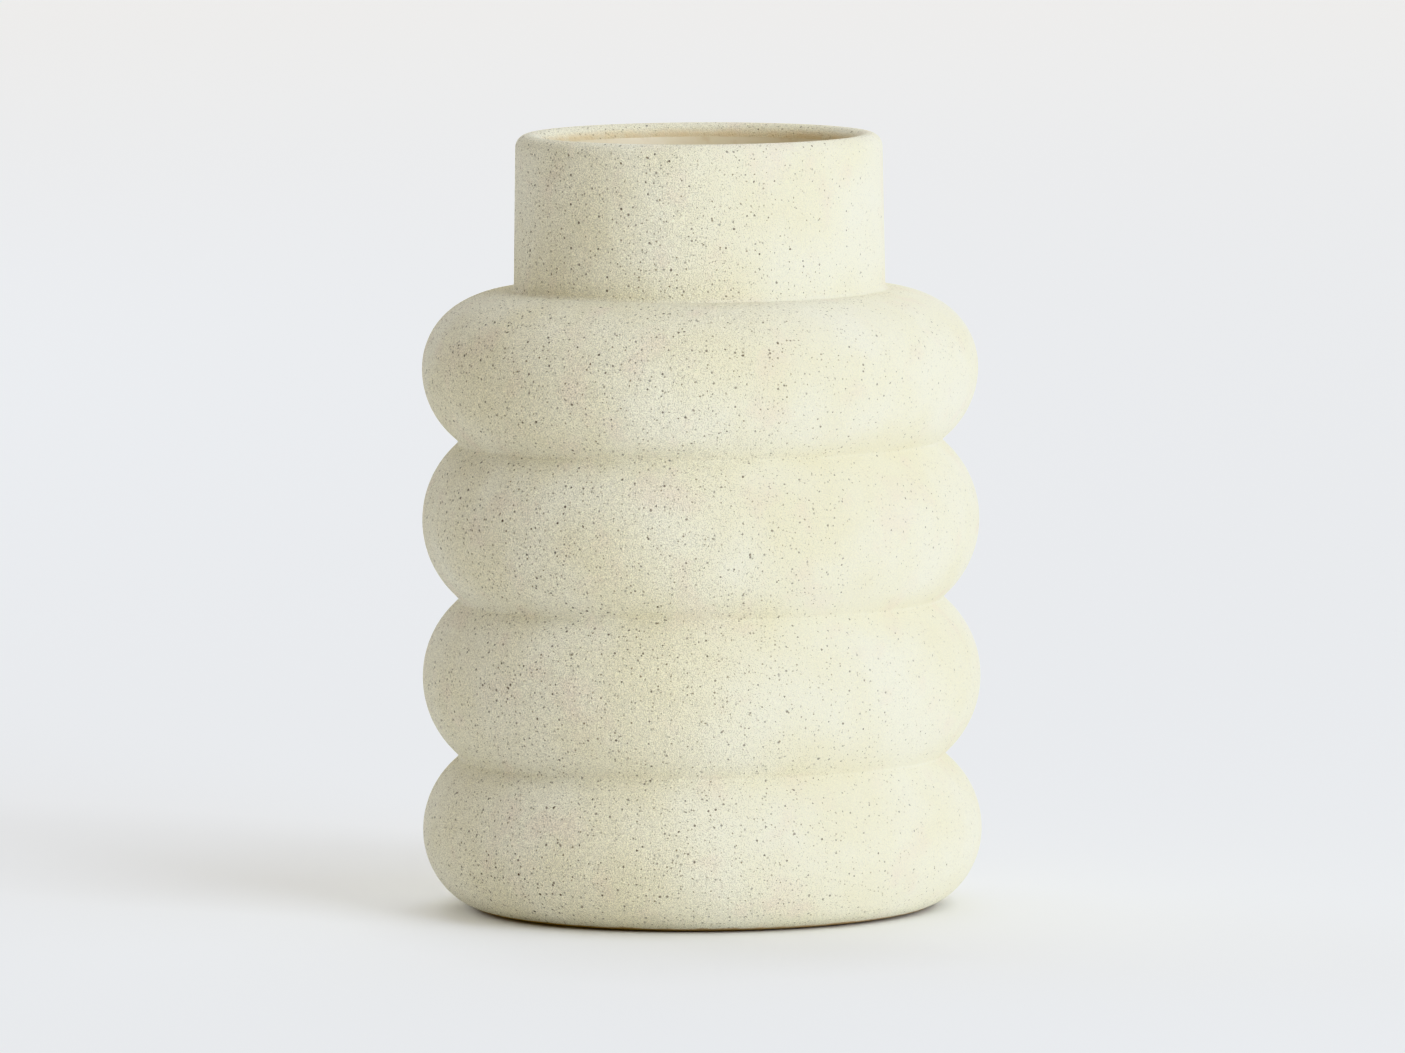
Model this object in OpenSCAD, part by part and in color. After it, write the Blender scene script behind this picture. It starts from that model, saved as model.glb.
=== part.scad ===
// Stoneware vase built from thrown rings.
// Four bulged rings and a collar are thrown one by one, then luted together with slip over a
// turned foot disc. A V-shaped ridge under each piece sits in a V-shaped groove on the one below.
// The origin is the centre of the foot on the surface it stands on. Units are millimetres.

/* [Heights] */
// From the table to the widest line of the base ring
base_crest_h = 20.1; // [16:0.1:26]
// From there up to the first joint
base_top_h = 19.3; // [15:0.1:25]
// From joint to joint on each of the two middle rings
ring_h = 40.7; // [32:0.1:52]
// From the third joint to the widest line of the shoulder ring
shoulder_low_h = 18.8; // [15:0.1:24]
// From there up to the seat of the neck
shoulder_top_h = 20.3; // [16:0.1:26]
// From the seat of the neck to the top of the rim
neck_h = 40.1; // [25:0.1:80]

/* [Outline] */
// Radius of the base ring at its widest line
crest_r = 72.2; // [60:0.1:90]
// How much narrower the shoulder ring is than the base ring, as a radius
top_taper = 0.5; // [0:0.1:4]
// How far each joint is set in from the widest line of the rings
groove_depth = 9.6; // [7:0.1:12]
// Length of the straight flank that leads into each joint
flank = 2.9; // [1:0.1:5]
// How far the flat of the foot is set in from the widest line
foot_inset = 18.2; // [14:0.1:24]
// Turn of the tighter curve under the widest line of the base ring, in degrees
base_turn = 43; // [30:1:55]
// How far the neck is set in from the widest line of the shoulder ring
shoulder_step = 23.8; // [19:0.1:30]
// Turn of the tighter curve above the widest line of the shoulder ring, in degrees
shoulder_turn = 58; // [45:1:65]
// How much narrower the neck is at the rim than at its seat, as a radius
neck_draft = 0.6; // [0:0.1:2]

/* [Clay] */
// Thickness of the thrown wall
wall = 7; // [5.5:0.1:8.5]
// Thickness of the floor over the foot
floor_t = 8; // [7:0.1:11]
// Rounding of the inner edge under the neck
throat_r = 4; // [2:0.1:5]
// Thickness of the waterproof glaze inside
lining = 0.4; // [0.2:0.05:0.8]
// Length over which the inner glaze thins out below the rim
lining_fade = 3; // [1:0.1:6]

/* [Joints] */
// Thickness of the slip between two pieces
slip_gap = 0.5; // [0.3:0.05:0.8]
// Half width of the V-shaped ridge and groove
key_w = 1.5; // [1:0.1:2]
// Height of the ridge and depth of the groove
key_h = 1.5; // [0.8:0.1:2]
// How far the wiped slip fills each outside joint
bead = 0.8; // [0.4:0.1:1.5]
// Radius of the fingertip that wiped the slip
bead_r = 1.6; // [1.6:0.1:4]

/* [Foot] */
// Height of the bare clay edge below the base ring
foot_edge_h = 0.8; // [0.5:0.1:2]
// Width of the ring that the vase stands on
foot_ring_w = 8; // [5:0.1:14]
// Depth of the turned recess inside that ring
recess_h = 2; // [0.5:0.1:3]
// Slope of the turned recess's edge, as a width
recess_slope = 1; // [0.5:0.1:2]

/* [Hidden] */
$fn = 144;

// Degrees from one point to the next along a round outline
arc_step = 5;

bare_clay = "#8a7355";
slip = "#c9b998";
matt_glaze = "#dfdcc8";
inner_glaze = "#d9cfb0";

// Heights from the table: the three joints between rings, the widest line of each ring, the neck
joint_z = [for (i = [0:2]) base_crest_h + base_top_h + i * ring_h];
crest_z = [base_crest_h, joint_z[0] + ring_h / 2, joint_z[1] + ring_h / 2, joint_z[2] + shoulder_low_h];
seat = crest_z[3] + shoulder_top_h;
rim = seat + neck_h;

// From each joint down to the widest line of the ring under it, and up to that of the ring over it
joint_down = [base_top_h, ring_h / 2, ring_h / 2];
joint_up = [ring_h / 2, ring_h / 2, shoulder_low_h];

// Radii of the widest lines, and of the sharp grooves between them
crests = [for (i = [0:3]) crest_r - top_taper * i / 3];
edges = [for (i = [0:2]) (crests[i] + crests[i + 1]) / 2 - groove_depth];

foot_r = crest_r - foot_inset;
neck_r = crests[3] - shoulder_step;
rim_r = neck_r - neck_draft;
mouth_r = rim_r - wall;
lip_r = wall / 2;
lip_z = rim - lip_r;

// The shoulder ends in a flat seat, which the bead around the neck just covers
shoulder_w = shoulder_step - bead;
throat = [mouth_r + throat_r, seat - wall + throat_r];

// Beyond the whole section, for the sides of cutting shapes
far = crest_r + rim;

// All points but the first, where it repeats the last one of the stretch before
function tail(points) = [for (i = [1:len(points) - 1]) points[i]];

function arc(centre, r, from, to) =
    let (steps = ceil(abs(to - from) / arc_step))
    [for (i = [0:steps]) let (a = from + (to - from) * i / steps) centre + r * [cos(a), sin(a)]];

// A bulge that rises h and closes d, its last stretch a straight flank: its radius and its turn
function bulge_r(d, h) = (d * d + h * h - flank * flank) / (2 * d);
function bulge_turn(d, h) = atan2(h, bulge_r(d, h) - d) - atan(flank / bulge_r(d, h));

// A bulge that rises h and closes w to end flat: the radii of its side and of its end,
// where the side turns through t degrees and the end makes up the rest of the quarter
function side_r(w, h, t) = (w * (1 - sin(t)) - cos(t) * h) / (1 - sin(t) - cos(t));
function end_r(w, h, t) = side_r(w, h, t) + (h - w) / (1 - sin(t) - cos(t));

base_side_r = side_r(foot_inset, base_crest_h, base_turn);
base_end_r = end_r(foot_inset, base_crest_h, base_turn);
shoulder_side_r = side_r(shoulder_w, shoulder_top_h, shoulder_turn);
shoulder_end_r = end_r(shoulder_w, shoulder_top_h, shoulder_turn);

// Turn of ring i at the joint over it, and at the joint under it
function turn_over(i) = bulge_turn(crests[i] - edges[i], joint_down[i]);
function turn_under(i) = bulge_turn(crests[i] - edges[i - 1], joint_up[i - 1]);

// Outlines at a depth d under the outside, each from below upwards
function half_over(i, d) =
    let (r = bulge_r(crests[i] - edges[i], joint_down[i]))
    arc([crests[i] - r, crest_z[i]], r - d, 0, turn_over(i));

function half_under(i, d) =
    let (r = bulge_r(crests[i] - edges[i - 1], joint_up[i - 1]))
    arc([crests[i] - r, crest_z[i]], r - d, -turn_under(i), 0);

function ridge(i, d) =
    d == 0
        ? [[edges[i], joint_z[i]]]
        : arc([edges[i], joint_z[i]], d, 180 + turn_over(i), 180 - turn_under(i + 1));

function base_end(d) = arc([foot_r, base_end_r], base_end_r - d, -90, -base_turn);

function base_side(d) =
    arc([crest_r - base_side_r, crest_z[0]], base_side_r - d, -base_turn, 0);

function shoulder_side(d) =
    arc([crests[3] - shoulder_side_r, crest_z[3]], shoulder_side_r - d, 0, shoulder_turn);

function shoulder_end(d) =
    arc([neck_r + bead, seat - shoulder_end_r], shoulder_end_r - d, shoulder_turn, 90);

// From the flat of the foot, up the four rings, to the seat of the neck
function skin(d) = [
    each base_end(d),
    each tail(base_side(d)),
    for (i = [0:2]) each concat(tail(half_over(i, d)), ridge(i, d), half_under(i + 1, d)),
    each tail(shoulder_side(d)),
    each tail(shoulder_end(d)),
];

// The hollow inside the clay, less a coat on all its walls that thins to nothing at the lip
module hollow(coat) {
    difference() {
        polygon([
            [0, 0],
            each skin(wall + coat),
            each arc(throat, throat_r + coat, 270, 180),
            [mouth_r - coat, lip_z - lining_fade],
            [mouth_r, lip_z],
            [0, lip_z],
        ]);
        square([far, floor_t + coat]);
    }
}

// Clay of the foot and the four rings, in section
module body_section() {
    difference() {
        polygon([[0, 0], each skin(0), [0, seat]]);
        hollow(0);
    }
}

// Clay of the neck: straight inside, a little drawn in outside, with a full round lip
module neck_section() {
    polygon([
        [mouth_r, seat],
        [neck_r, seat],
        each arc([rim_r - lip_r, lip_z], lip_r, 0, 180),
    ]);
}

// Everything from a height up, with the V-shaped ridge hanging below it at radius key_r
module above(z, key_r) {
    polygon([
        [0, z],
        [key_r - key_w, z],
        [key_r, z - key_h],
        [key_r + key_w, z],
        [far, z],
        [far, far],
        [0, far],
    ]);
}

// Everything from the middle of joint i up, moved by a shift
module over_joint(i, shift) { above(joint_z[i] + shift, edges[i] - wall / 2); }

// Everything from the neck's joint up
module over_seat(shift) { above(seat + shift, (mouth_r + neck_r) / 2); }

// The foot joint is bevelled at 45 degrees from the top of the bare edge, inwards and up
bevel_r = foot_r + sqrt(pow(base_end_r, 2) - pow(base_end_r - foot_edge_h, 2)) + foot_edge_h;

// Half of the slip's thickness, measured level across that bevel
bevel_gap = slip_gap / sqrt(2);

// All inside the bevel, moved outwards by a shift
module inside_bevel(shift) {
    top = 2 * floor_t;
    polygon([[0, -top], [bevel_r + shift + top, -top], [bevel_r + shift - top, top], [0, top]]);
}

module foot_disc() {
    ring_in = foot_r - foot_ring_w;
    color(bare_clay)
        rotate_extrude()
            difference() {
                intersection() {
                    body_section();
                    inside_bevel(-bevel_gap);
                }
                polygon([[0, 0], [ring_in, 0], [ring_in - recess_slope, recess_h], [0, recess_h]]);
            }
}

module ring_1_base() {
    color(matt_glaze)
        rotate_extrude()
            difference() {
                body_section();
                inside_bevel(bevel_gap);
                over_joint(0, -slip_gap / 2);
            }
}

module middle_ring(i) {
    color(matt_glaze)
        rotate_extrude()
            intersection() {
                body_section();
                difference() {
                    over_joint(i - 1, slip_gap / 2);
                    over_joint(i, -slip_gap / 2);
                }
            }
}

module ring_2() { middle_ring(1); }

module ring_3() { middle_ring(2); }

module ring_4_shoulder() {
    color(matt_glaze)
        rotate_extrude()
            difference() {
                intersection() {
                    body_section();
                    over_joint(2, slip_gap / 2);
                }
                over_seat(0);
            }
}

module neck_collar() {
    color(matt_glaze)
        rotate_extrude()
            intersection() {
                neck_section();
                over_seat(slip_gap);
            }
}

// Slip wiped into a corner from point a up to point b, hollow as the fingertip left it.
// The root is the rest of its outline, which reaches into the slip inside the joint.
module wiped(a, b, root) {
    half = norm(b - a) / 2;
    out = [b[1] - a[1], a[0] - b[0]] / (2 * half);
    tip = (a + b) / 2 + out * sqrt(bead_r * bead_r - half * half);
    from = atan2(a[1] - tip[1], a[0] - tip[0]);
    to = atan2(b[1] - tip[1], b[0] - tip[0]);
    polygon([each arc(tip, bead_r, from < to ? from + 360 : from, to), each root]);
}

module slip_foot() {
    color(slip)
        rotate_extrude()
            difference() {
                intersection() {
                    body_section();
                    inside_bevel(bevel_gap);
                }
                inside_bevel(-bevel_gap);
            }
}

// Slip in the joint over ring i, with the bead that rounds the groove outside
module slip_ring_section(i) {
    corner = [edges[i], joint_z[i]];
    over = turn_under(i + 1);
    under = turn_over(i);
    half = slip_gap / 2;
    difference() {
        intersection() {
            body_section();
            over_joint(i, -half);
        }
        over_joint(i, half);
    }
    wiped(
        corner + bead * [sin(under), -cos(under)],
        corner + bead * [sin(over), cos(over)],
        [
            corner + half * [tan(over), 1],
            corner - [slip_gap, -half],
            corner - [slip_gap, half],
            corner + half * [tan(under), -1],
        ]
    );
}

module slip_ring(i) { color(slip) rotate_extrude() slip_ring_section(i); }

module slip_joint_1_2() { slip_ring(0); }

module slip_joint_2_3() { slip_ring(1); }

module slip_joint_3_4() { slip_ring(2); }

// Radius of the neck's outside at a height over the seat
function neck_at(z) = neck_r - neck_draft * z / (lip_z - seat);

// Slip under the neck, with the bead that rounds its outside corner
module slip_neck_section() {
    bead_z = slip_gap + bead;
    root_r = neck_r - slip_gap;
    difference() {
        intersection() {
            union() {
                body_section();
                neck_section();
            }
            over_seat(0);
        }
        over_seat(slip_gap);
    }
    wiped(
        [neck_r + bead, seat],
        [neck_at(bead_z), seat + bead_z],
        [[neck_at(slip_gap), seat + slip_gap], [root_r, seat + slip_gap], [root_r, seat]]
    );
}

module slip_neck() { color(slip) rotate_extrude() slip_neck_section(); }

module liner_glaze() {
    color(inner_glaze)
        rotate_extrude()
            difference() {
                hollow(0);
                hollow(lining);
            }
}

foot_disc();
ring_1_base();
ring_2();
ring_3();
ring_4_shoulder();
neck_collar();
slip_foot();
slip_joint_1_2();
slip_joint_2_3();
slip_joint_3_4();
slip_neck();
liner_glaze();
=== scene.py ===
from math import asin, atan, atan2, ceil, copysign, cos, degrees, dist, pi, radians, sin, sqrt, tan

import bpy
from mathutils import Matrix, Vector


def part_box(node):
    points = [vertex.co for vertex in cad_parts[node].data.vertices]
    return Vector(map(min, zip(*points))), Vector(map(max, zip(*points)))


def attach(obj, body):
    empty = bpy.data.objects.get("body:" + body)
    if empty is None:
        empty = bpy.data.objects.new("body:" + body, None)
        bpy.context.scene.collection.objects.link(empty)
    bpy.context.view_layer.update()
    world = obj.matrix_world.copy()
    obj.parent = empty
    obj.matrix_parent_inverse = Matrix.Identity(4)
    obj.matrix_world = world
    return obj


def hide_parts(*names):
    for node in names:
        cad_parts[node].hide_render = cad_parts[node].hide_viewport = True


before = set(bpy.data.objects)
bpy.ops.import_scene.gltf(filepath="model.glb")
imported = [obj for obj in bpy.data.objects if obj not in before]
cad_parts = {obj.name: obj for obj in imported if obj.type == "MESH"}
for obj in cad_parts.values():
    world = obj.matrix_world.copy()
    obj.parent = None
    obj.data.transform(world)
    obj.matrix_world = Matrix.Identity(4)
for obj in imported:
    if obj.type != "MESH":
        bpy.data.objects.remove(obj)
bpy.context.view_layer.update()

# Camera: a long portrait lens well back from the vase and a little above it, as for a
# catalogue. It is turned a hair off level.
MM = 0.001

# Where it stands, in metres; its lens and film in mm; how far it sees; its dip and roll in degrees
EYE = (0.44 * MM, -3.625, 0.438)
LENS = 361.5
FILM = 36
SIGHT = 200
DIP = 5.353
ROLL = -0.3

bpy.ops.object.select_all(action="DESELECT")
bpy.ops.object.camera_add(location=EYE)
camera = bpy.context.object
camera.name = "catalogue_camera"
camera.rotation_mode = "ZXY"
camera.rotation_euler = (radians(90 - DIP), 0, radians(ROLL))
camera.data.lens = LENS
camera.data.sensor_width = FILM
camera.data.clip_end = SIGHT
camera.data.dof.use_dof = False
bpy.context.scene.camera = camera


# Foot disc: the floor of the vase, a slab of buff stoneware turned on the wheel when leather
# hard. The tool leaves a standing ring, a shallow recess and fine rings in the clay, and the
# edge that shows under the glaze line is wiped clean. It is set into the base ring on a bevel.

# Step along a curved outline in mm, segments round the wheel, closeness in mm of points that
# become one, and the steepest fold in degrees that still looks smooth
GRAIN = 1.0
SEGMENTS = 192
MERGE = 0.002
FACE_ANGLE = 28


def high_corner(node):
    """Highest corner of a piece's place in the vase, in millimetres."""
    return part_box(node)[1] / MM


def arc(centre, r, start, end, grain=GRAIN):
    """Points of an arc in the (radius, height) plane, angles in degrees."""
    steps = max(2, ceil(abs(radians(end - start)) * r / grain))
    turns = [radians(start + (end - start) * i / steps) for i in range(steps + 1)]
    return [(centre[0] + r * cos(t), centre[1] + r * sin(t)) for t in turns]


def throw(name, outline):
    """A closed form turned on the wheel from its outline of (radius, height) points."""
    bpy.ops.object.select_all(action="DESELECT")
    r, z = outline[0]
    bpy.ops.mesh.primitive_plane_add(size=MM, location=(r * MM, 0, z * MM))
    bpy.ops.object.transform_apply(location=True, rotation=True, scale=True)
    piece = bpy.context.object
    piece.name = piece.data.name = name
    bpy.ops.object.mode_set(mode="EDIT")
    bpy.ops.mesh.select_all(action="SELECT")
    bpy.ops.mesh.merge(type="CENTER")
    for a, b in zip(outline, outline[1:]):
        step = ((b[0] - a[0]) * MM, 0, (b[1] - a[1]) * MM)
        bpy.ops.mesh.extrude_vertices_move(TRANSFORM_OT_translate={"value": step})
    bpy.ops.mesh.select_all(action="SELECT")
    bpy.ops.mesh.spin(steps=SEGMENTS, angle=2 * pi, center=(0, 0, 0), axis=(0, 0, 1))
    bpy.ops.mesh.select_all(action="SELECT")
    bpy.ops.mesh.remove_doubles(threshold=MERGE * MM)
    bpy.ops.mesh.normals_make_consistent(inside=False)
    bpy.ops.object.mode_set(mode="OBJECT")
    bpy.ops.object.shade_smooth_by_angle(angle=radians(FACE_ANGLE))
    return piece


def linear(code):
    """Linear RGBA of an sRGB hex code."""
    parts = [int(code[i : i + 2], 16) / 255 for i in (1, 3, 5)]
    return [c / 12.92 if c <= 0.04045 else ((c + 0.055) / 1.055) ** 2.4 for c in parts] + [1]


def add(tree, kind, feeds=None, **settings):
    """Adds a node with its settings; a feed links a socket to an input, or gives it a value."""
    made = tree.nodes.new(kind)
    for name, value in settings.items():
        setattr(made, name, value)
    for socket, feed in (feeds or {}).items():
        if isinstance(feed, bpy.types.NodeSocket):
            tree.links.new(feed, made.inputs[socket])
        else:
            made.inputs[socket].default_value = feed
    return made


def stoneware():
    """Buff stoneware, bisque and bare: turned smooth, then sponged, so that fine sand shows."""
    made = bpy.data.materials.new("buff_stoneware_turned")
    made.use_nodes = True
    tree = made.node_tree
    shader = tree.nodes["Principled BSDF"]
    place = add(tree, "ShaderNodeTexCoord").outputs["Object"]
    # Flame marks some 20 mm wide, and sand grains of 0.4 mm
    flame = add(tree, "ShaderNodeTexNoise", {"Vector": place, "Scale": 50, "Detail": 4})
    sand = add(tree, "ShaderNodeTexNoise", {"Vector": place, "Scale": 2500, "Detail": 2})
    warm = add(
        tree,
        "ShaderNodeMix",
        {"Factor": flame.outputs["Fac"], "A": linear("#b59a72"), "B": linear("#d3bd98")},
        data_type="RGBA",
    )
    grain = add(
        tree,
        "ShaderNodeMapRange",
        {
            "Value": sand.outputs["Fac"],
            "From Min": 0.35,
            "From Max": 0.7,
            "To Min": 0.86,
            "To Max": 1.1,
        },
    )
    tint = add(
        tree,
        "ShaderNodeMix",
        {"Factor": 1, "A": warm.outputs["Result"], "B": grain.outputs["Result"]},
        data_type="RGBA",
        blend_type="MULTIPLY",
    )
    bump = add(
        tree,
        "ShaderNodeBump",
        {"Height": sand.outputs["Fac"], "Strength": 0.8, "Distance": 0.06 * MM},
    )
    tree.links.new(tint.outputs["Result"], shader.inputs["Base Color"])
    tree.links.new(bump.outputs["Normal"], shader.inputs["Normal"])
    shader.inputs["Roughness"].default_value = 0.92
    shader.inputs["IOR"].default_value = 1.5
    shader.inputs["Specular IOR Level"].default_value = 0.25
    return made


# The vase's underside curve, which the disc's bare edge and the base ring share
WALL = 7
SLIP = 0.5
CREST_1_Z = 20.1
FOOT_INSET = 18.2
UNDER_TURN = 43
BARE_EDGE = 0.8
base_high = high_corner("ring_1_base")
floor_z = high_corner("foot_disc").z
crest_1 = (base_high.x, CREST_1_Z)
foot_r = crest_1[0] - FOOT_INSET


def quarter(close, rise, turn):
    """Radii of the side and the end of a curve that rises, closes in and ends level."""
    s, c = sin(radians(turn)), cos(radians(turn))
    side = (close * (1 - s) - rise * c) / (1 - s - c)
    return side, side + (rise - close) / (1 - s - c)


under_side, under_end = quarter(FOOT_INSET, CREST_1_Z, UNDER_TURN)
side_centre = (crest_1[0] - under_side, CREST_1_Z)
end_centre = (foot_r, under_end)

# The foot joint is a bevel at 45 degrees; radius plus height is the same all along it
bevel = foot_r + sqrt(under_end**2 - (under_end - BARE_EDGE) ** 2) + BARE_EDGE
disc_bevel = bevel - SLIP / sqrt(2)
ring_bevel = bevel + SLIP / sqrt(2)


def bevel_turn(reach):
    """Where a line of the foot's bevel meets the underside curve, as that curve's angle."""
    return -45 + degrees(asin(((reach - foot_r) / under_end - 1) / sqrt(2)))


def ripple(path, depth, pitch, side):
    """The path with shallow waves on one side of it, as a tool or fingertips leave them."""
    waved, run = [path[0]], 0
    for before, here, after in zip(path, path[1:], path[2:]):
        run += dist(before, here)
        rise = depth * (1 - cos(2 * pi * run / pitch)) / 2
        length = dist(before, after)
        across = ((before[1] - after[1]) / length, (after[0] - before[0]) / length)
        waved.append((here[0] + side * rise * across[0], here[1] + side * rise * across[1]))
    return waved + [path[-1]]


# The standing ring's width, the recess inside it, and the marks that the tool left there
STAND_W = 8
RECESS = 2
RECESS_SLOPE = 1
RECESS_STEPS = 110
TOOL_MARK = 0.1
TOOL_PITCH = 2.6
EDGE_SOFTENING = 0.22
EDGE_STEPS = 3
EDGE_ANGLE = 20
recess_r = foot_r - STAND_W - RECESS_SLOPE
recess = [(recess_r * i / RECESS_STEPS, RECESS) for i in range(RECESS_STEPS + 1)]
disc = throw(
    "foot_disc_turned",
    [
        *ripple(recess, TOOL_MARK, TOOL_PITCH, -1),
        (foot_r - STAND_W, 0),
        *arc(end_centre, under_end, -90, bevel_turn(disc_bevel)),
        (disc_bevel - floor_z, floor_z),
        (0, floor_z),
    ],
)
soften = disc.modifiers.new("sponged_edges", "BEVEL")
soften.width = EDGE_SOFTENING * MM
soften.segments = EDGE_STEPS
soften.limit_method = "ANGLE"
soften.angle_limit = radians(EDGE_ANGLE)
bpy.ops.object.modifier_apply(modifier=soften.name)
bpy.ops.object.shade_smooth_by_angle(angle=radians(FACE_ANGLE))
bare_clay = stoneware()
disc.data.materials.append(bare_clay)
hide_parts("foot_disc")
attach(disc, "root")


# Foot seam: casting slip brushed on the bevel before the base ring is set down over the disc.
# It shows only as a hairline between the bare edge and the glaze.
SEAM_GRAIN = 0.2


def joining_slip():
    """Fired joining slip: the clay body without its sand, so smooth, paler and chalky."""
    made = bpy.data.materials.new("joining_slip_fired")
    made.use_nodes = True
    tree = made.node_tree
    shader = tree.nodes["Principled BSDF"]
    place = add(tree, "ShaderNodeTexCoord").outputs["Object"]
    # Brush marks about 3 mm apart
    brush = add(tree, "ShaderNodeTexNoise", {"Vector": place, "Scale": 330, "Detail": 3})
    tone = add(
        tree,
        "ShaderNodeMix",
        {"Factor": brush.outputs["Fac"], "A": linear("#c2ae88"), "B": linear("#d8c9a6")},
        data_type="RGBA",
    )
    bump = add(
        tree,
        "ShaderNodeBump",
        {"Height": brush.outputs["Fac"], "Strength": 0.5, "Distance": 0.1 * MM},
    )
    tree.links.new(tone.outputs["Result"], shader.inputs["Base Color"])
    tree.links.new(bump.outputs["Normal"], shader.inputs["Normal"])
    shader.inputs["Roughness"].default_value = 0.88
    shader.inputs["IOR"].default_value = 1.5
    return made


foot_seam = throw(
    "foot_seam_slip",
    [
        *arc(end_centre, under_end, bevel_turn(disc_bevel), bevel_turn(ring_bevel), SEAM_GRAIN),
        (ring_bevel - floor_z, floor_z),
        (disc_bevel - floor_z, floor_z),
        (disc_bevel - BARE_EDGE, BARE_EDGE),
    ],
)
slip = joining_slip()
foot_seam.data.materials.append(slip)
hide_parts("slip_foot")
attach(foot_seam, "root")


# Base ring: thrown without a floor, bulged from inside with a rib, and cut level on top with a
# V-shaped groove. It is bare inside and at its joints, and sprayed outside with a matt
# magnesium glaze that stays thin and keeps the sandy skin and the iron specks of the clay.

# How far in the rings meet, the straight flank beside each joint, and the V across its face
GROOVE = 9.6
FLANK = 2.9
KEY = 1.5
ring_2_high = high_corner("ring_2")
ring_3_high = high_corner("ring_3")
shoulder_high = high_corner("ring_4_shoulder")
rim_z = high_corner("neck_collar").z

# Half the slip in a joint, and how far that turns about the joint at the wall's inside
half_slip = SLIP / 2
face_turn = degrees(asin(half_slip / WALL))

# The joints outside, and the rings' widest lines, as (radius, height)
crest_r = [base_high.x, ring_2_high.x, ring_3_high.x, shoulder_high.x]
joint_z = [top.z + half_slip for top in (base_high, ring_2_high, ring_3_high)]
joints = [((crest_r[i] + crest_r[i + 1]) / 2 - GROOVE, joint_z[i]) for i in range(3)]
crests = [crest_1] + [(crest_r[i], (joint_z[i - 1] + joint_z[i]) / 2) for i in (1, 2)]


def bend(crest, joint):
    """Radius of the wall's curve between its widest line and a joint, and how far it turns."""
    close, rise = crest[0] - joint[0], abs(joint[1] - crest[1])
    r = (close**2 + rise**2 - FLANK**2) / (2 * close)
    return r, degrees(atan2(rise, r - close) - atan(FLANK / r))


def bulge(crest, joint, depth):
    """That curve at a depth under the outside, from the widest line towards the joint."""
    r, turn = bend(crest, joint)
    return arc((crest[0] - r, crest[1]), r - depth, 0, copysign(turn, joint[1] - crest[1]))


def keyed(joint, z):
    """The V across a joint's face, from outside inwards."""
    middle = joint[0] - WALL / 2
    return [(middle + KEY, z), (middle, z - KEY), (middle - KEY, z)]


def to_joint(crest, joint):
    """From the widest line outside to the joint, across its face, and back inside."""
    up = copysign(1, joint[1] - crest[1])
    turn = bend(crest, joint)[1]
    face_z = joint[1] - up * half_slip
    corner = (joint[0] + half_slip * tan(radians(turn)), face_z)
    ridge = arc(joint, WALL, 180 + up * face_turn, 180 + up * turn)
    inside = bulge(crest, joint, WALL)[::-1]
    return bulge(crest, joint, 0) + [corner] + keyed(joint, face_z) + ridge + inside


# The specks' least and greatest share of the size given, and X of the lit and of the shaded side
SMALLEST = 0.35
LARGEST = 1.25
LIT_X = 50
SHADED_X = -45

# The mouth, and how far in from the lip's crest and down from its top the tan fades in
MOUTH_R = 40.3
TAN_IN = (0.2, 1.2)
TAN_DOWN = (1, 2.6)


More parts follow.
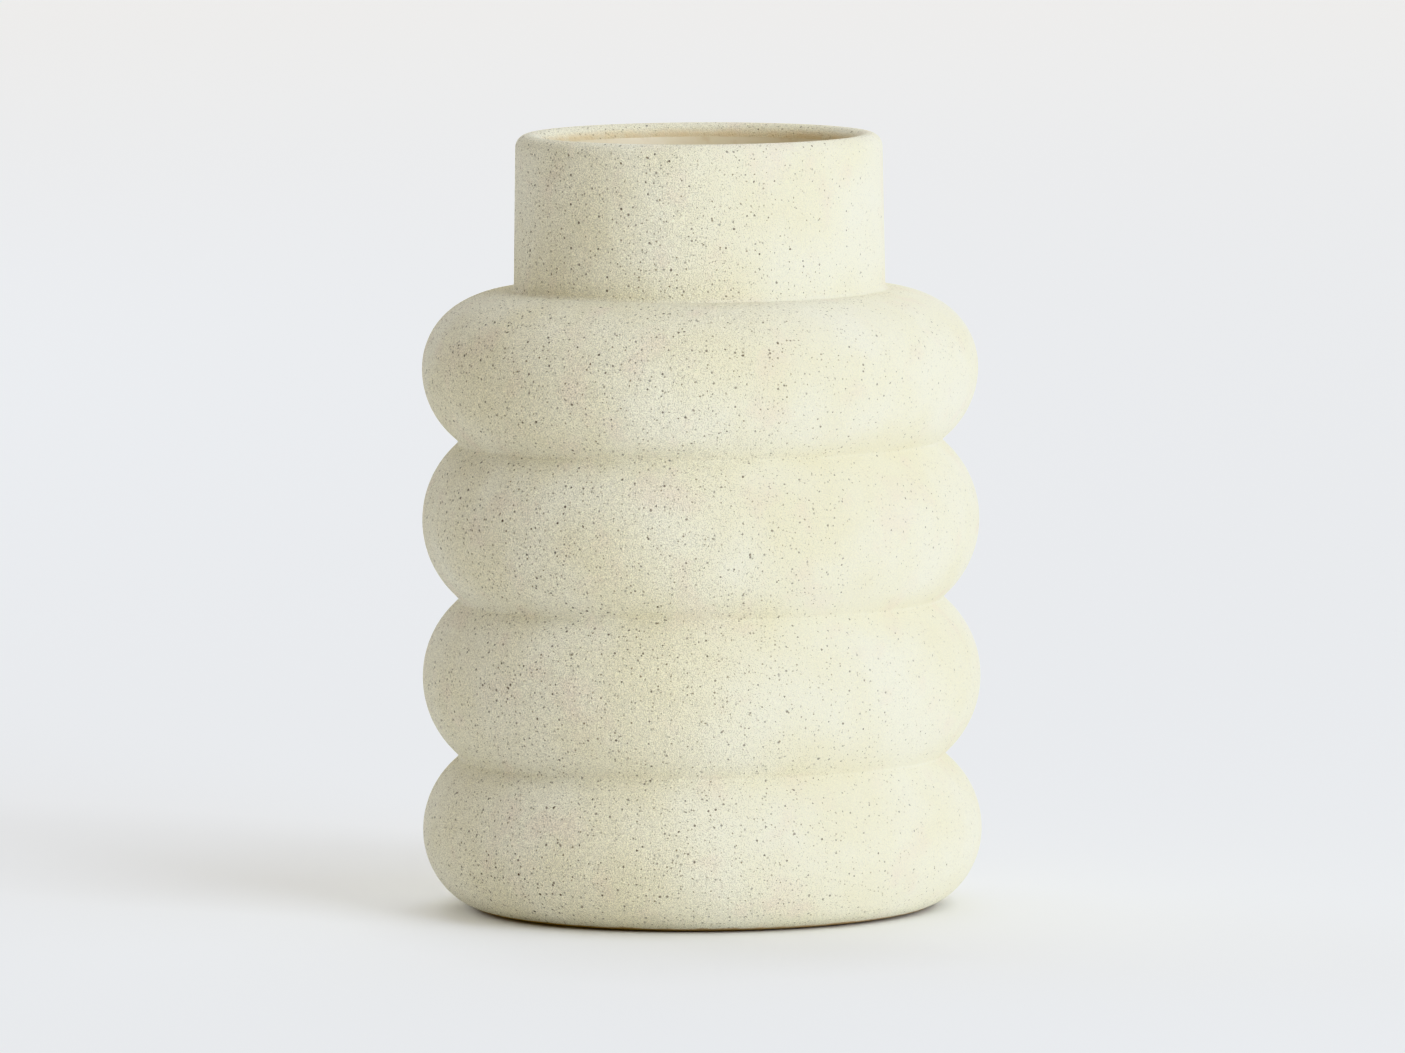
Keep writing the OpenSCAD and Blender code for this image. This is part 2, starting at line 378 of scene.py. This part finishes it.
def speckled_glaze():
    """Matt magnesium glaze on speckled stoneware, once fired. It is opaque cream and dry to the
    eye, with a sandy skin, iron specks that bleed up through it, and faint warm clouds where
    it is thin. It breaks to bare clay in a ragged line just above the foot."""
    made = bpy.data.materials.new("matt_magnesium_glaze_speckled")
    made.use_nodes = True
    tree = made.node_tree
    shader = tree.nodes["Principled BSDF"]
    place = add(tree, "ShaderNodeTexCoord").outputs["Object"]

    # Painted light and shade: the grit and the specks are painted stronger towards the side away
    # from the key light and weaker on the lit side
    spot = add(tree, "ShaderNodeSeparateXYZ", {"Vector": place})
    thin_glaze_and_painted_shade = add(
        tree,
        "ShaderNodeMapRange",
        {
            "Value": spot.outputs["X"],
            "From Min": LIT_X * MM,
            "From Max": SHADED_X * MM,
            "To Min": 0.6,
        },
    )

    # Clouds 30 mm wide where the spray lay thick or thin
    cloud = add(tree, "ShaderNodeTexNoise", {"Vector": place, "Scale": 33, "Detail": 3})
    thick = add(
        tree,
        "ShaderNodeMapRange",
        {"Value": cloud.outputs["Fac"], "From Min": 0.35, "From Max": 0.65},
    )
    tone = add(
        tree,
        "ShaderNodeMix",
        {"Factor": thick.outputs["Result"], "A": linear("#eee8cc"), "B": linear("#f3efda")},
        data_type="RGBA",
    )
    # Pinkish blushes 12 mm wide
    blush = add(tree, "ShaderNodeTexNoise", {"Vector": place, "Scale": 85, "Detail": 2})
    pink = add(
        tree,
        "ShaderNodeMapRange",
        {"Value": blush.outputs["Fac"], "From Min": 0.56, "From Max": 0.75, "To Max": 0.3},
    )
    tone = add(
        tree,
        "ShaderNodeMix",
        {"Factor": pink.outputs["Result"], "A": tone.outputs["Result"], "B": linear("#eedccb")},
        data_type="RGBA",
    )
    # Sandy skin: grains of 0.3 mm
    sand = add(
        tree,
        "ShaderNodeTexNoise",
        {"Vector": place, "Scale": 3600, "Detail": 1, "Roughness": 0.5},
    )
    grains = add(
        tree,
        "ShaderNodeMapRange",
        {
            "Value": sand.outputs["Fac"],
            "From Min": 0.3,
            "From Max": 0.7,
            "To Min": 0.72,
            "To Max": 1.28,
        },
    )
    # The grain's contrast is painted stronger towards the shaded side
    tone = add(
        tree,
        "ShaderNodeMix",
        {
            "Factor": thin_glaze_and_painted_shade.outputs["Result"],
            "A": tone.outputs["Result"],
            "B": grains.outputs["Result"],
        },
        data_type="RGBA",
        blend_type="MULTIPLY",
    )

    # Iron specks: how far apart, how large, how dark and of what colour, from dust to a few bold
    # ones. Each cell of the pattern holds one in a pinhole. Its size lies between the smallest
    # and the largest share of the size given, and its strength varies too.
    pits = 0.0
    for apart, size, strength, shade in (
        (1.1, 0.28, 0.85, "#78602f"),
        (1.8, 0.36, 0.95, "#4c3413"),
        (6.0, 0.42, 0.95, "#2b1c0c"),
    ):
        cells = add(tree, "ShaderNodeTexVoronoi", {"Vector": place, "Scale": 1 / (apart * MM)})
        chance = add(tree, "ShaderNodeSeparateColor", {"Color": cells.outputs["Color"]})
        reach = add(
            tree,
            "ShaderNodeMapRange",
            {
                "Value": chance.outputs["Red"],
                "To Min": SMALLEST * size / apart,
                "To Max": LARGEST * size / apart,
            },
        )
        inside = add(
            tree,
            "ShaderNodeMath",
            {0: cells.outputs["Distance"], 1: reach.outputs["Result"]},
            operation="DIVIDE",
        )
        faded = add(
            tree,
            "ShaderNodeMapRange",
            {"Value": inside.outputs["Value"], "From Min": 1, "From Max": 0.5, "To Max": strength},
        )
        # Each speck is painted darker towards the shaded side
        depth = add(
            tree,
            "ShaderNodeMapRange",
            {"Value": chance.outputs["Green"], "To Min": 0.4, "To Max": thin_glaze_and_painted_shade.outputs["Result"]},
        )
        dark = add(
            tree,
            "ShaderNodeMath",
            {0: faded.outputs["Result"], 1: depth.outputs["Result"]},
            operation="MULTIPLY",
        )
        pits = add(
            tree, "ShaderNodeMath", {0: pits, 1: dark.outputs["Value"]}, operation="ADD"
        ).outputs["Value"]
        tone = add(
            tree,
            "ShaderNodeMix",
            {"Factor": dark.outputs["Value"], "A": tone.outputs["Result"], "B": linear(shade)},
            data_type="RGBA",
        )

    # The glaze line over the foot wanders by half a millimetre
    ragged = add(tree, "ShaderNodeTexNoise", {"Vector": place, "Scale": 260, "Detail": 3})
    wander = add(
        tree,
        "ShaderNodeMath",
        {0: ragged.outputs["Fac"], 1: -1.2 * MM, 2: spot.outputs["Z"]},
        operation="MULTIPLY_ADD",
    )
    broken = add(
        tree,
        "ShaderNodeMapRange",
        {
            "Value": wander.outputs["Value"],
            "From Min": 0.35 * MM,
            "From Max": 0.75 * MM,
            "To Min": 0.85,
            "To Max": 0,
        },
    )
    tone = add(
        tree,
        "ShaderNodeMix",
        {"Factor": broken.outputs["Result"], "A": tone.outputs["Result"], "B": linear("#d0b184")},
        data_type="RGBA",
    )

    # Inside the lip, below its top, the glaze turns a warm tan in patches
    across = add(
        tree, "ShaderNodeVectorMath", {0: place, 1: (1, 1, 0)}, operation="MULTIPLY"
    )
    out = add(tree, "ShaderNodeVectorMath", {0: across.outputs["Vector"]}, operation="LENGTH")
    crest_at = MOUTH_R + WALL / 2
    within = add(
        tree,
        "ShaderNodeMapRange",
        {
            "Value": out.outputs["Value"],
            "From Min": (crest_at - TAN_IN[0]) * MM,
            "From Max": (crest_at - TAN_IN[1]) * MM,
        },
    )
    patchy = add(
        tree,
        "ShaderNodeMapRange",
        {
            "Value": ragged.outputs["Fac"],
            "From Min": 0.35,
            "From Max": 0.6,
            "To Min": 0.55,
            "To Max": within.outputs["Result"],
        },
    )
    below_lip_top = add(
        tree,
        "ShaderNodeMapRange",
        {
            "Value": spot.outputs["Z"],
            "From Min": (rim_z - TAN_DOWN[0]) * MM,
            "From Max": (rim_z - TAN_DOWN[1]) * MM,
        },
    )
    tan_patches = add(
        tree,
        "ShaderNodeMath",
        {0: below_lip_top.outputs["Result"], 1: patchy.outputs["Result"]},
        operation="MULTIPLY",
    )
    lip_tan = add(
        tree,
        "ShaderNodeMath",
        {0: tan_patches.outputs["Value"], 1: within.outputs["Result"]},
        operation="MULTIPLY",
    )
    tone = add(
        tree,
        "ShaderNodeMix",
        {"Factor": lip_tan.outputs["Value"], "A": tone.outputs["Result"], "B": linear("#ebdab4")},
        data_type="RGBA",
    )
    tree.links.new(tone.outputs["Result"], shader.inputs["Base Color"])

    # Grit under the glaze: the sand, and coarser grog of 1.6 mm, less the pinholes
    grog = add(tree, "ShaderNodeTexNoise", {"Vector": place, "Scale": 620, "Detail": 2})
    skin = add(
        tree,
        "ShaderNodeMath",
        {0: grog.outputs["Fac"], 1: 0.6, 2: sand.outputs["Fac"]},
        operation="MULTIPLY_ADD",
    )
    pitted = add(
        tree,
        "ShaderNodeMath",
        {0: pits, 1: -0.8, 2: skin.outputs["Value"]},
        operation="MULTIPLY_ADD",
    )
    # The bump is deeper towards the shaded side as well
    rough = add(
        tree,
        "ShaderNodeMath",
        {0: thin_glaze_and_painted_shade.outputs["Result"], 1: 0.4 * MM},
        operation="MULTIPLY",
    )
    bump = add(
        tree,
        "ShaderNodeBump",
        {"Height": pitted.outputs["Value"], "Strength": 1, "Distance": rough.outputs["Value"]},
    )
    dry = add(
        tree,
        "ShaderNodeMapRange",
        {
            "Value": cloud.outputs["Fac"],
            "From Min": 0.3,
            "From Max": 0.7,
            "To Min": 0.74,
            "To Max": 0.84,
        },
    )
    tree.links.new(bump.outputs["Normal"], shader.inputs["Normal"])
    tree.links.new(dry.outputs["Result"], shader.inputs["Roughness"])
    shader.inputs["IOR"].default_value = 1.5
    shader.inputs["Specular IOR Level"].default_value = 0.3
    shader.inputs["Diffuse Roughness"].default_value = 0.6
    return made


# How much a face must look outwards or up to be sprayed, and the strip wiped clean at the foot
OUTWARDS = 0.05
UPWARDS = 0.5
GLAZE_WIPED = 0.4


def glazed_outside(piece, reach, level_reach=None):
    """Sprays glaze on the faces that look outwards beyond a radius, or up beyond another."""
    piece.data.materials.append(bare_clay)
    piece.data.materials.append(glaze)
    for face in piece.data.polygons:
        r = face.center.xy.length / MM
        faces_out = face.normal.xy.dot(face.center.xy.normalized()) > OUTWARDS
        faces_up = level_reach is not None and face.normal.z > UPWARDS and r > level_reach
        face.material_index = int((faces_out and r > reach) or faces_up)


glaze = speckled_glaze()
inside_turn = degrees(asin((floor_z - under_end) / (under_end - WALL)))
base = throw(
    "ring_1_base_thrown",
    [
        *arc(end_centre, under_end, bevel_turn(ring_bevel), -UNDER_TURN),
        *arc(side_centre, under_side, -UNDER_TURN, 0)[1:],
        *to_joint(crest_1, joints[0])[1:],
        *arc(side_centre, under_side - WALL, 0, -UNDER_TURN)[1:],
        *arc(end_centre, under_end - WALL, -UNDER_TURN, inside_turn)[1:],
        (ring_bevel - floor_z, floor_z),
        (ring_bevel - BARE_EDGE, BARE_EDGE),
    ],
)
glazed_outside(base, ring_bevel - BARE_EDGE - GLAZE_WIPED)
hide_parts("ring_1_base")
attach(base, "root")


# Middle rings: two more rings of the same bulge, thrown to one gauge. Each is luted on the one
# below, the V under it keyed into that one's groove, and sprayed with the same glaze.
for i, node in ((1, "ring_2"), (2, "ring_3")):
    ring = throw(
        node + "_thrown",
        [*to_joint(crests[i], joints[i]), *to_joint(crests[i], joints[i - 1])[::-1]],
    )
    glazed_outside(ring, joints[i][0] + SLIP)
    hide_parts(node)
    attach(ring, "root")


# Shoulder ring: the top ring, drawn in over the belly to a flat seat for the neck. Its wall
# turns down inside into a rounded throat.

# The widest line's height over the joint, the angle where the two curves of the shoulder meet,
# the step in to the neck, the level edge round the neck, and the rounding of the throat
SHOULDER_LOW = 18.8
SHOULDER_TURN = 58
SHOULDER_STEP = 23.8
SEAT_EDGE = 0.8
THROAT = 4
seat_z = shoulder_high.z
crest_4 = (crest_r[3], joint_z[2] + SHOULDER_LOW)
crests.append(crest_4)
neck_r = crest_4[0] - SHOULDER_STEP
over_side, over_end = quarter(
    SHOULDER_STEP - SEAT_EDGE, seat_z - crest_4[1], SHOULDER_TURN
)
over_side_centre = (crest_4[0] - over_side, crest_4[1])
over_end_centre = (neck_r + SEAT_EDGE, seat_z - over_end)
throat_centre = (MOUTH_R + THROAT, seat_z - WALL + THROAT)
neck_joint = ((MOUTH_R + neck_r + WALL) / 2, seat_z)
shoulder = throw(
    "ring_4_shoulder_thrown",
    [
        *to_joint(crest_4, joints[2])[::-1],
        *arc(over_side_centre, over_side, 0, SHOULDER_TURN)[1:],
        *arc(over_end_centre, over_end, SHOULDER_TURN, 90)[1:],
        *keyed(neck_joint, seat_z),
        (MOUTH_R, seat_z),
        *arc(throat_centre, THROAT, 180, 270),
        *arc(over_end_centre, over_end - WALL, 90, SHOULDER_TURN),
        *arc(over_side_centre, over_side - WALL, SHOULDER_TURN, 0)[1:],
    ],
)
glazed_outside(shoulder, joints[2][0] + SLIP, over_end_centre[0])
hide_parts("ring_4_shoulder")
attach(shoulder, "root")


# Joints between the rings: a layer of slip in each, whose squeezed-out bead is wiped round with
# a fingertip, so that the rings meet in a soft valley. The bead is glazed with the rings.
FINGERTIP = 0.8
BEAD_GRAIN = 0.1

for i, joint in enumerate(joints):
    below, above = bend(crests[i], joint)[1], bend(crests[i + 1], joint)[1]
    # The fingertip's round, which touches both rings, and where it leaves the lower one
    valley = radians(180 - below - above) / 2
    aim = radians(below - above) / 2
    away = FINGERTIP / sin(valley)
    along = FINGERTIP / tan(valley)
    tip = (joint[0] + away * cos(aim), joint[1] + away * sin(aim))
    end = (joint[0] + along * sin(radians(below)), joint[1] - along * cos(radians(below)))
    seam = throw(
        f"joint_{i + 1}_{i + 2}_slip",
        [
            *arc(tip, FINGERTIP, 180 + below, 180 - above, BEAD_GRAIN),
            (joint[0] + half_slip * tan(radians(above)), joint[1] + half_slip),
            *keyed(joint, joint[1] + half_slip),
            *arc(joint, WALL, 180 - face_turn, 180 + face_turn),
            *keyed(joint, joint[1] - half_slip)[::-1],
            (joint[0] + half_slip * tan(radians(below)), joint[1] - half_slip),
            end,
        ],
    )
    seam.data.materials.append(slip)
    seam.data.materials.append(glaze)
    for face in seam.data.polygons:
        face.material_index = int(face.center.xy.length / MM > joint[0] + half_slip)
    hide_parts(f"slip_joint_{i + 1}_{i + 2}")
    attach(seam, "root")


# Neck collar: a straight-sided ring thrown to the width of the mouth, drawn in very slightly
# towards the top, with its lip run round under a wet chamois into a full half circle.

# How far it draws in, the finer step along its lip, and where it sits
DRAFT = 0.6
LIP_GRAIN = 0.4
lip = WALL / 2
lip_centre = (neck_r - DRAFT - lip, rim_z - lip)
collar_z = seat_z + SLIP
rise = rim_z - lip - seat_z


def neck_at(z):
    """Radius of the neck's outside at a height."""
    return neck_r - DRAFT * (z - seat_z) / rise


side_steps = ceil((rim_z - lip - collar_z) / GRAIN)
side_z = [collar_z + (rim_z - lip - collar_z) * k / side_steps for k in range(side_steps)]
collar = throw(
    "neck_collar_thrown",
    [
        *[(neck_at(z), z) for z in side_z],
        *arc(lip_centre, lip, 0, 180, LIP_GRAIN),
        (MOUTH_R, collar_z),
        *keyed(neck_joint, collar_z)[::-1],
        (neck_at(collar_z), collar_z),
    ],
)
collar.data.materials.append(bare_clay)
collar.data.materials.append(glaze)
for face in collar.data.polygons:
    r = face.center.xy.length / MM
    on_side = r > neck_at(rim_z) - SLIP and face.center.z / MM > collar_z
    face.material_index = int(on_side or face.center.z / MM > rim_z - lip)
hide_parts("neck_collar")
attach(collar, "root")


# Neck joint: a layer of slip under the collar, with a V that keys the two, and a small wiped
# fillet in the corner outside, glazed over with the rest.
CORNER = 1.1
corner_centre = (neck_r + CORNER, seat_z + CORNER)
neck_seam = throw(
    "neck_joint_slip",
    [
        *arc(corner_centre, CORNER, 270, 180, BEAD_GRAIN),
        (neck_at(collar_z), collar_z),
        *keyed(neck_joint, collar_z),
        (MOUTH_R, collar_z),
        (MOUTH_R, seat_z),
        *keyed(neck_joint, seat_z)[::-1],
        (neck_r + CORNER, seat_z),
    ],
)
neck_seam.data.materials.append(slip)
neck_seam.data.materials.append(glaze)
for face in neck_seam.data.polygons:
    face.material_index = int(face.center.xy.length / MM > neck_r - BEAD_GRAIN)
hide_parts("slip_neck")
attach(neck_seam, "root")


# Liner glaze: a satin glaze poured in and swirled out again before firing, so that the vase
# holds water. It follows the potter's finger ridges inside and thins out below the lip.

# The coat's thickness, the height in which it thins out, and the finger ridges
LINER = 0.4
FADE = 3
FINGER_MARK = 0.18
FINGER_PITCH = 7.5


def liner_glaze():
    """Poured satin liner glaze: warmer than the outside and glassier, with tan breaks in patches
    where it ran thin."""
    made = bpy.data.materials.new("satin_liner_glaze_poured")
    made.use_nodes = True
    tree = made.node_tree
    shader = tree.nodes["Principled BSDF"]
    place = add(tree, "ShaderNodeTexCoord").outputs["Object"]
    # Runs of 14 mm where it was swirled, and breaks of 5 mm
    swirl = add(tree, "ShaderNodeTexNoise", {"Vector": place, "Scale": 70, "Detail": 3})
    thin_glaze_and_painted_shade = add(tree, "ShaderNodeTexNoise", {"Vector": place, "Scale": 190, "Detail": 4})
    tone = add(
        tree,
        "ShaderNodeMix",
        {"Factor": swirl.outputs["Fac"], "A": linear("#e3d4b0"), "B": linear("#ece1c4")},
        data_type="RGBA",
    )
    broken = add(
        tree,
        "ShaderNodeMapRange",
        {"Value": thin_glaze_and_painted_shade.outputs["Fac"], "From Min": 0.6, "From Max": 0.75, "To Max": 0.4},
    )
    tint = add(
        tree,
        "ShaderNodeMix",
        {"Factor": broken.outputs["Result"], "A": tone.outputs["Result"], "B": linear("#c8a873")},
        data_type="RGBA",
    )
    bump = add(
        tree,
        "ShaderNodeBump",
        {"Height": swirl.outputs["Fac"], "Strength": 0.6, "Distance": 0.5 * MM},
    )
    tree.links.new(tint.outputs["Result"], shader.inputs["Base Color"])
    tree.links.new(bump.outputs["Normal"], shader.inputs["Normal"])
    shader.inputs["Roughness"].default_value = 0.42
    shader.inputs["IOR"].default_value = 1.52
    return made


def inner_wall(depth):
    """The hollow's side at a depth under the outside, from the floor's edge to the lip."""
    coat = depth - WALL
    floor_turn = degrees(asin((floor_z + coat - under_end) / (under_end - depth)))
    path = arc(end_centre, under_end - depth, floor_turn, -UNDER_TURN)
    path += arc(side_centre, under_side - depth, -UNDER_TURN, 0)[1:]
    for i, joint in enumerate(joints):
        path += bulge(crests[i], joint, depth)[1:]
        turns = bend(crests[i], joint)[1], bend(crests[i + 1], joint)[1]
        path += arc(joint, depth, 180 + turns[0], 180 - turns[1])
        path += bulge(crests[i + 1], joint, depth)[::-1]
    path += arc(over_side_centre, over_side - depth, 0, SHOULDER_TURN)[1:]
    path += arc(over_end_centre, over_end - depth, SHOULDER_TURN, 90)[1:]
    path += arc(throat_centre, THROAT + coat, 270, 180)
    return path


coat_side = inner_wall(WALL + LINER)
liner = throw(
    "liner_glaze_poured",
    [
        (0, floor_z),
        *inner_wall(WALL),
        (MOUTH_R, rim_z - lip),
        (MOUTH_R - LINER, rim_z - lip - FADE),
        *ripple(coat_side, FINGER_MARK, FINGER_PITCH, 1)[::-1],
        (0, floor_z + LINER),
    ],
)
liner.data.materials.append(liner_glaze())
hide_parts("liner_glaze")
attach(liner, "root")


# Studio: a pale matt floor under the vase and soft light from large panels, which aren't part
# of it.
FLOOR_SIDE = 26
PANEL = 1.4
WIDE_PANEL = 3.0


def lamp(name, strength, size, place, aim=(0, 0, 0.1), tint="#e3eeff"):
    """A square light panel turned towards a point."""
    bpy.ops.object.light_add(type="AREA", location=place)
    panel = bpy.context.object
    panel.name = name
    panel.data.energy = strength
    panel.data.size = size
    panel.data.color = linear(tint)[:3]
    reach = [t - p for p, t in zip(place, aim)]
    flat = sqrt(reach[0] ** 2 + reach[1] ** 2)
    panel.rotation_euler = (atan2(flat, -reach[2]), 0, atan2(-reach[0], reach[1]))


bpy.ops.object.select_all(action="DESELECT")
bpy.ops.mesh.primitive_plane_add(size=FLOOR_SIDE)
floor = bpy.context.object
floor.name = "floor"
paper = bpy.data.materials.new("pale_floor_paper")
paper.use_nodes = True
matt = paper.node_tree.nodes["Principled BSDF"]
matt.inputs["Base Color"].default_value = linear("#fafaf8")
matt.inputs["Roughness"].default_value = 1
floor.data.materials.append(paper)

# A cool key light from the front right, low and high, a rim light from behind on the left, and
# panels over the table and the backdrop
lamp("key_panel_low", 47, PANEL, (1.82, -1.82, 0.75))
lamp("key_panel_high", 10, PANEL, (1.3, -1.3, 1.94))
lamp("side_panel", 10, PANEL, (1.81, -0.32, 1.94))
lamp("rim_panel", 26, PANEL, (-1.97, 1.66, 0.75))
lamp("overhead_panel", 44, WIDE_PANEL, (0, 2.5, 3.0))
lamp("backdrop_panel", 60, WIDE_PANEL, (0, 5.5, 2.5), (0, 5.5, 0), "#f6f9ff")
world = bpy.data.worlds.new("studio")
bpy.context.scene.world = world
world.use_nodes = True
room = world.node_tree.nodes["Background"]
room.inputs["Color"].default_value = linear("#fff6ea")
room.inputs["Strength"].default_value = 0.45
bpy.context.scene.view_settings.view_transform = "Khronos PBR Neutral"
